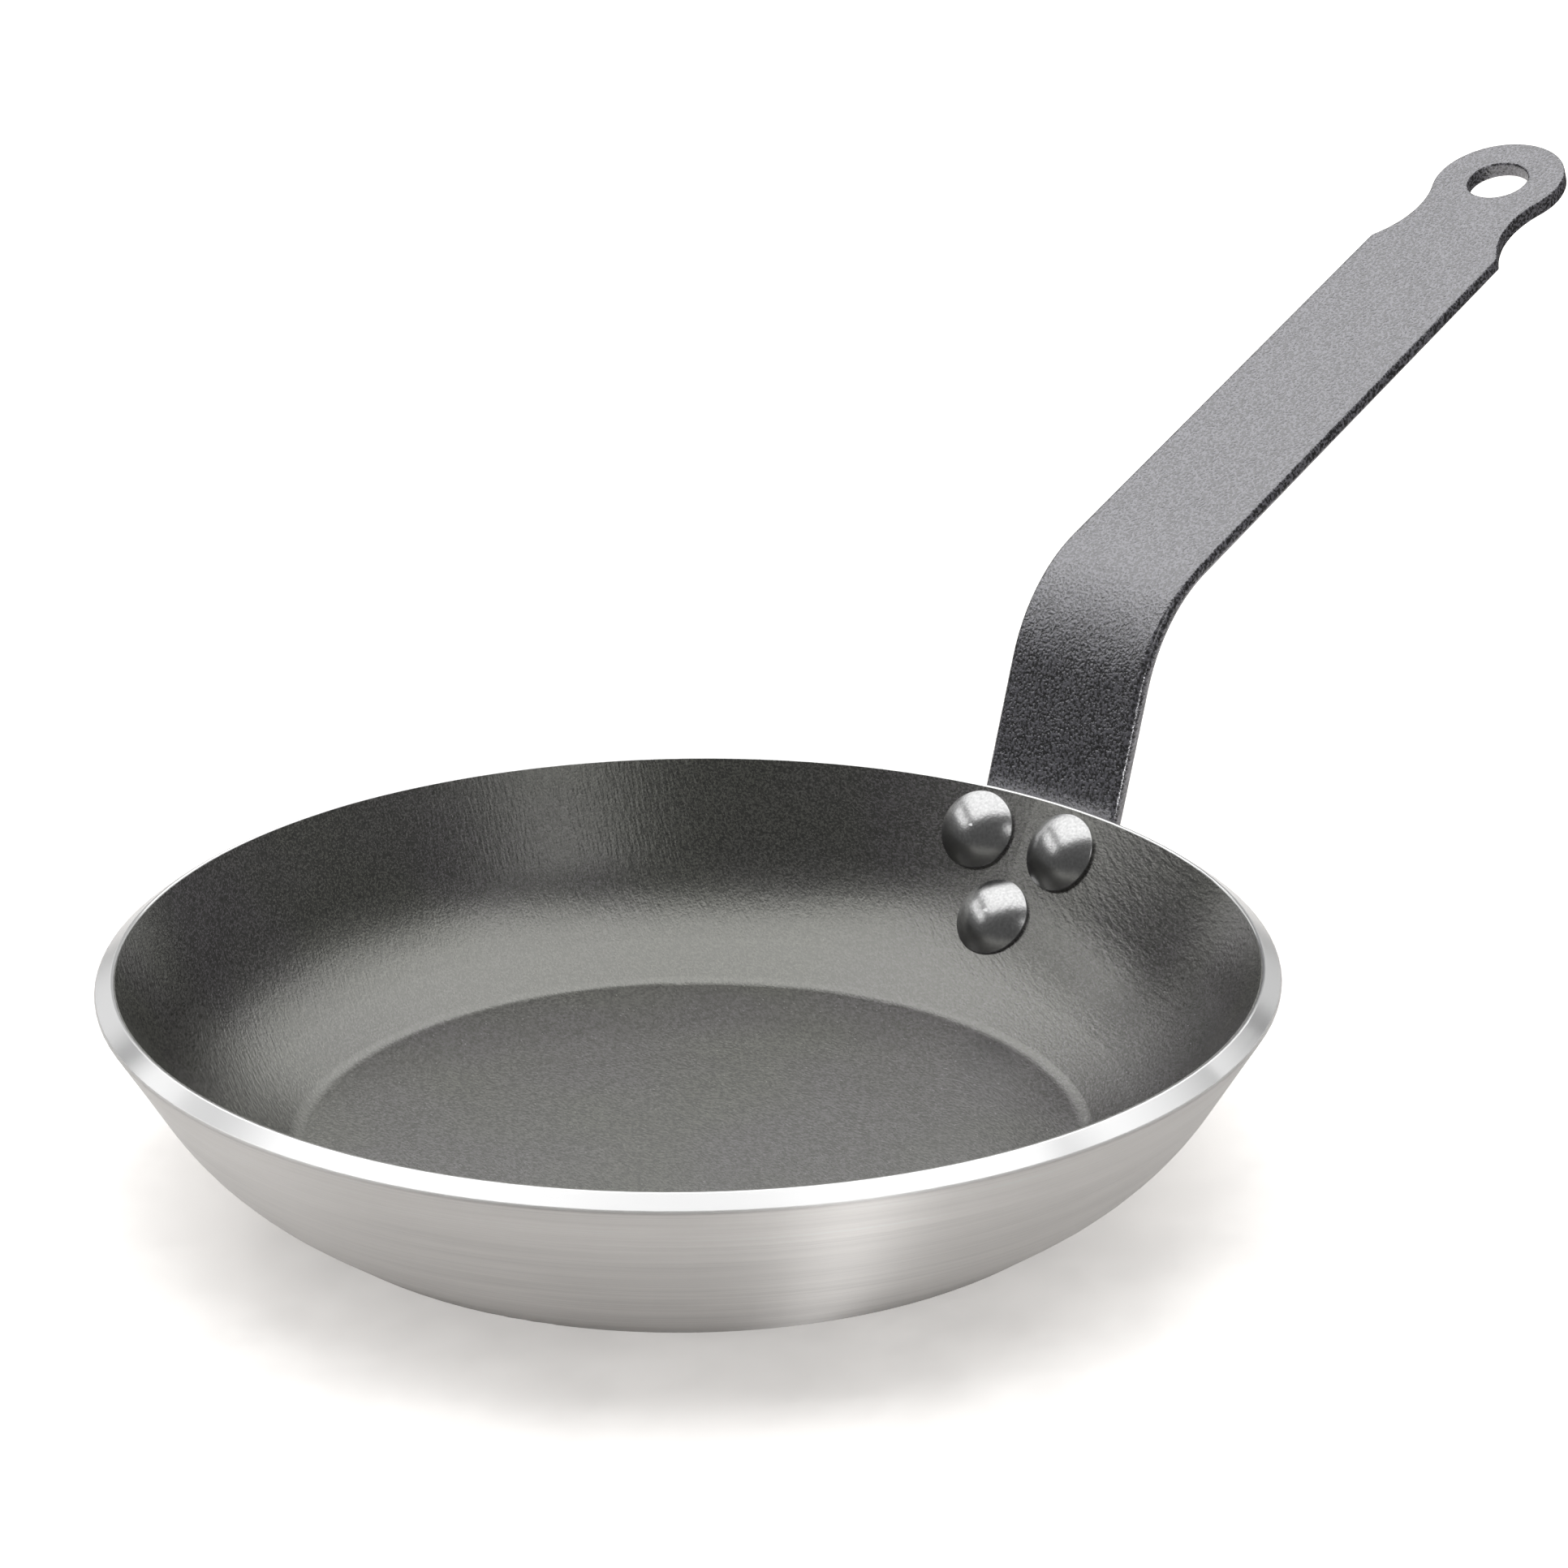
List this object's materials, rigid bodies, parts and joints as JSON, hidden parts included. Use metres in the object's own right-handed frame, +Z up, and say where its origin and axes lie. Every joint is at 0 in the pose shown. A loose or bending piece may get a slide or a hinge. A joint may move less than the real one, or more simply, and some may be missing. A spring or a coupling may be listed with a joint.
{
  "type": "omelette pan",
  "caption": "Shallow round aluminium pan with flared wall, dark non-stick lining and an upswept flat bar handle with a hanging eye, riveted on.",
  "frame": {"origin": "centre of the flat base, on the plane that the pan stands on", "axes": "+Z up along the axis of the round pan, +X from the pan's centre towards the handle, +Y to the left of the handle when looking along it from the pan"},
  "size_m": [0.3581, 0.2, 0.1301],
  "materials": {
    "pan_aluminium": "brushed round the axis outside, turned bright on the rim",
    "nonstick": "dark grey non-stick film with a fine speckle and a faint one-way grain, satin",
    "handle_coat": "grey hammered coat on steel bar",
    "rivet_aluminium": "satin"
  },
  "bodies": {
    "root": {"pan_body": "pan_aluminium", "nonstick_coating": "nonstick", "handle": "handle_coat", "rivet_left": "rivet_aluminium", "rivet_right": "rivet_aluminium", "rivet_lower": "rivet_aluminium"}
  },
  "joints": []
}
